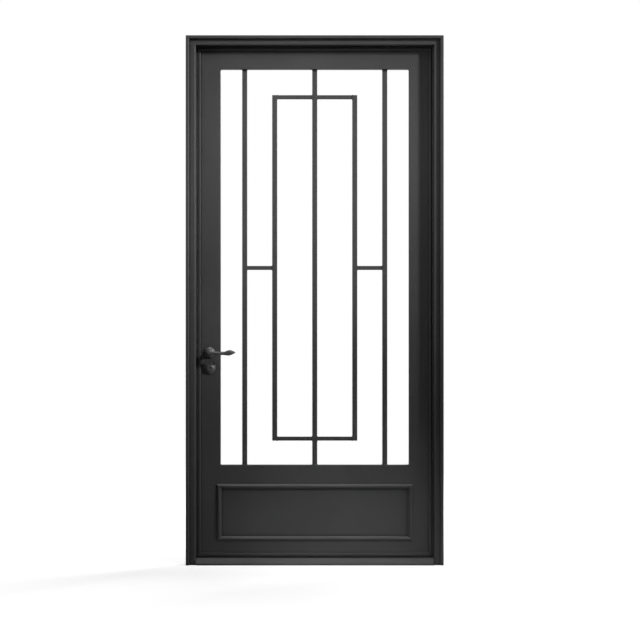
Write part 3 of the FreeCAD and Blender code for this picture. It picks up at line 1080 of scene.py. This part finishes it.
@dataclass(frozen=True)
class DomedPlate:
    """A turned round plate whose top falls in one curve from its bore to its rim."""

    node: str
    face: Face
    bore: float
    height: float
    edge: float = 3 * MM
    fullness: float = 1.35
    rings: int = 10
    sides: int = 64
    sharp_deg: float = 40.0

    def section(self, radius: float) -> list[tuple[float, float]]:
        """Half of the plate's section, from the bore's foot over the top to the rim's foot.

        Args:
            radius: Radius of the rim.

        Returns:
            Points as distance from the axis and height above the leaf.
        """
        points = [(self.bore, 0.0)]
        for step in range(self.rings + 1):
            share = step / self.rings
            fall = (self.height - self.edge) * share**self.fullness
            points.append((self.bore + (radius - self.bore) * share, self.height - fall))
        points.append((radius, 0.0))
        return points

    def build(self, metal: Material) -> None:
        """Turn the plate and let it stand for its node.

        Args:
            metal: Finish of the plate.
        """
        low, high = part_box(self.node)
        middle = (low + high) / 2
        foot = low.y if self.face is Face.INSIDE else high.y
        shape = bmesh.new()
        angles = [math.tau * step / self.sides for step in range(self.sides)]
        circle = [(math.cos(angle), math.sin(angle)) for angle in angles]
        rings = []
        for out, rise in self.section((high.x - low.x) / 2):
            level = foot + self.face.value * rise
            places = [(middle.x + out * x, level, middle.z + out * z) for x, z in circle]
            rings.append([shape.verts.new(place) for place in places])
        for index, ring in enumerate(rings):
            bridge(shape, rings[index - 1], ring)
        mesh = closed_mesh(f"{self.node}_dome", shape)
        mesh.shade_smooth()
        mesh.set_sharp_from_angle(angle=math.radians(self.sharp_deg))
        mesh.materials.append(metal)
        plate = new_piece(mesh.name, mesh)
        settle(plate, "leaf")
        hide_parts(self.node)


@dataclass
class LeverSet:
    """Levers, domed roses and escutcheons, and the key cylinder."""

    nodes: tuple[str, ...] = ("outside_lever", "inside_lever", "key_cylinder")
    plates: tuple[DomedPlate, ...] = (
        DomedPlate("outside_rose", Face.OUTSIDE, 9.3 * MM, 13 * MM),
        DomedPlate("inside_rose", Face.INSIDE, 9.3 * MM, 13 * MM),
        DomedPlate("outside_escutcheon", Face.OUTSIDE, 10.8 * MM, 12.5 * MM),
        DomedPlate("inside_escutcheon", Face.INSIDE, 10.8 * MM, 12.5 * MM),
    )

    def build(self, finish: HandleFinish) -> None:
        """Finish the handles and turn their plates.

        Args:
            finish: Finish of all their pieces.
        """
        metal = finish.material()
        paint_nodes(self.nodes, metal)
        for plate in self.plates:
            plate.build(metal)


@dataclass
class LockEdge:
    """Strike plate in the jamb and faceplate in the leaf's edge, with their screws."""

    nodes: tuple[str, ...] = ("strike_plate", "lock_faceplate", "spindle")
    screw_inset: float = 14 * MM
    screw: PlateScrew = PlateScrew()

    def screw_places(self, plate: str, outward: int) -> Path:
        """Middles of the two screws of a plate.

        Args:
            plate: Name of the plate.
            outward: 1 where the plate faces +X, -1 where it faces -X.

        Returns:
            Points on the plate's face, near its ends.
        """
        low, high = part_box(plate)
        face = high.x if outward > 0 else low.x
        middle = (low.y + high.y) / 2
        levels = (low.z + self.screw_inset, high.z - self.screw_inset)
        return [Vector((face, middle, level)) for level in levels]

    def build(self, finish: SteelFinish) -> None:
        """Finish the lock's plates and set their screws.

        Args:
            finish: Finish of the plates and screws.
        """
        steel = finish.material()
        paint_nodes(self.nodes, steel)
        for plate, body, outward in (("strike_plate", "frame", 1), ("lock_faceplate", "leaf", -1)):
            places = self.screw_places(plate, outward)
            settle(self.screw.drive(f"{plate}_screws", places, (outward, 0, 0), steel), body)


class LampKind(Enum):
    """Kinds of studio lamp."""

    SPOT = "SPOT"
    PANEL = "AREA"


@dataclass(frozen=True)
class Lamp:
    """One studio lamp, aimed at a point of the door."""

    name: str
    kind: LampKind
    place: Point
    target: Point
    size: tuple[float, float]
    power: float
    cone_deg: float = 180.0
    softness: float = 0.0

    def build(self) -> None:
        """Hang the lamp."""
        light = bpy.data.lights.new(self.name, self.kind.value)
        light.energy = self.power
        if self.kind is LampKind.SPOT:
            light.shadow_soft_size = self.size[0] / 2
            light.spot_size = math.radians(self.cone_deg)
            light.spot_blend = self.softness
        else:
            light.shape = "RECTANGLE"
            light.size, light.size_y = self.size
            light.spread = math.radians(self.cone_deg)
        lamp = bpy.data.objects.new(self.name, light)
        lamp.location = self.place
        aim = Vector(self.target) - Vector(self.place)
        lamp.rotation_euler = aim.to_track_quat("-Z", "Y").to_euler()
        bpy.context.scene.collection.objects.link(lamp)
        LOG.info("lamp %s of %.0f W", self.name, self.power)


KEY_PLACE: Point = (5.75, -3.49, 4.97)


@dataclass
class Studio:
    """Pale floor, white surroundings, soft lamps and the camera."""

    lens_mm: float = 150.0
    sensor_mm: float = 36.0
    view_width: float = 2.534
    view_centre: tuple[float, float] = (0.021, 0.9722)
    view_plane: float = -0.012
    floor_half: float = 40.0
    floor_color: Color = (0.8, 0.8, 0.8)
    floor_white: tuple[float, float] = (0.66, 0.95)
    floor_fade: tuple[float, float] = (0.3, 3.0)
    floor_grain: float = 20 * MM
    floor_rough: Limits = (0.0, 1.0, 0.6, 0.8)
    floor_gloss: float = 0.1
    view_reach: float = 200.0
    lamps: tuple[Lamp, ...] = (
        Lamp("key_upper", LampKind.SPOT, KEY_PLACE, (-0.35, 0, 1.95), (1.1, 1.1), 3060, 13, 1),
        Lamp("key_middle", LampKind.SPOT, KEY_PLACE, (-0.35, 0, 1.55), (1.1, 1.1), 1020, 13, 1),
        Lamp("key_lower", LampKind.SPOT, KEY_PLACE, (0.2, 0, 1.28), (1.1, 1.1), 3200, 10, 1),
        Lamp("left_side", LampKind.SPOT, (-5.4, -2.2, 2.2), (0, 0, 1.7), (1.6, 1.6), 520, 20, 1),
        Lamp("right_foot", LampKind.SPOT, (4.6, -1.9, 0.9), (0.35, 0, 0.1), (1.0, 1.0), 230, 18, 1),
        Lamp("upper_left", LampKind.SPOT, (-2.2, -2.2, 5.0), (-0.2, 0, 1.9), (1.0, 1.0), 265, 24, 1),
        Lamp("overhead", LampKind.PANEL, (0, -0.5, 5.0), (0, -0.1, 0), (1.4, 0.4), 34),
        Lamp("sill", LampKind.SPOT, (0, -1.2, 4.5), (0, 0, 0), (0.6, 0.6), 150, 20, 1),
        Lamp("foot", LampKind.SPOT, (0.1, -3.4, 1.6), (0.12, 0, 0.04), (0.8, 0.8), 500, 10.5, 0.85),
        Lamp("front", LampKind.SPOT, (0.4, -7.0, 2.2), (0.2, 0, 1.75), (1.0, 1.0), 170, 13, 1),
        Lamp("behind", LampKind.PANEL, (2.4, 4.0, 3.0), (0, 0, 1.1), (1.6, 1.6), 150),
    )

    def camera(self) -> None:
        """Stand the camera square to the door."""
        data = bpy.data.cameras.new("camera")
        data.lens = self.lens_mm
        data.sensor_width = self.sensor_mm
        data.clip_end = self.view_reach
        camera = bpy.data.objects.new("camera", data)
        away = self.view_width * self.lens_mm / self.sensor_mm
        camera.location = (self.view_centre[0], self.view_plane - away, self.view_centre[1])
        camera.rotation_euler = (math.pi / 2, 0, 0)
        bpy.context.scene.collection.objects.link(camera)
        bpy.context.scene.camera = camera

    def floor(self) -> None:
        """Lay a pale floor that looks white to the camera and still takes the door's shadow."""
        reach = self.floor_half
        mesh = bpy.data.meshes.new("floor")
        corners = [(-reach, -reach, 0), (reach, -reach, 0), (reach, reach, 0), (-reach, reach, 0)]
        mesh.from_pydata(corners, [], [(0, 1, 2, 3)])
        tree = MaterialTree("floor_paint")
        grain = tree.noise(tree.place(EVEN, 0.0), self.floor_grain, detail=2.0)
        tree.join(tree.spread(grain, self.floor_rough), tree.shader.inputs["Roughness"])
        tree.shader.inputs["Base Color"].default_value = (*self.floor_color, 1)
        tree.shader.inputs["Specular IOR Level"].default_value = self.floor_gloss
        tree.shader.inputs["Emission Color"].default_value = (1, 1, 1, 1)
        away = tree.add("VectorMath", operation="LENGTH")
        tree.join(tree.add("NewGeometry").outputs["Position"], away.inputs[0])
        white = tree.spread(away.outputs["Value"], (*self.floor_fade, *self.floor_white))
        glow = tree.combine("MULTIPLY", tree.seen_directly(), white)
        tree.join(glow, tree.shader.inputs["Emission Strength"])
        mesh.materials.append(tree.material)
        new_piece("floor", mesh)

    def surroundings(self) -> None:
        """Show plain white round the door, which gets its light from the lamps."""
        world = bpy.data.worlds.new("studio")
        world.use_nodes = True
        tree = ShaderTree(world.node_tree)
        backdrop = tree.nodes["Background"]
        backdrop.inputs["Color"].default_value = (1, 1, 1, 1)
        tree.join(tree.seen_directly(), backdrop.inputs["Strength"])
        bpy.context.scene.world = world

    def build(self) -> None:
        """Set up the whole studio."""
        bpy.context.scene.view_settings.view_transform = "Standard"
        self.surroundings()
        self.floor()
        for lamp in self.lamps:
            lamp.build()
        self.camera()


def main() -> None:
    """Dress the door and set up the studio."""
    logging.basicConfig(level=logging.INFO, format="%(name)s: %(message)s")
    DoorFrame().build(PaintFinish("frame_paint", 0.0), PaintFinish("hinge_paint", 0.3))
    DoorLeaf().build(PaintFinish("leaf_paint", 0.5), PaintFinish("panel_paint", 0.7))
    Grille().build(PaintFinish("bar_paint", 0.9))
    LeverSet().build(HandleFinish("handle_metal"))
    LockEdge().build(SteelFinish("lock_steel"))
    Studio().build()


if __name__ == "__main__":
    main()
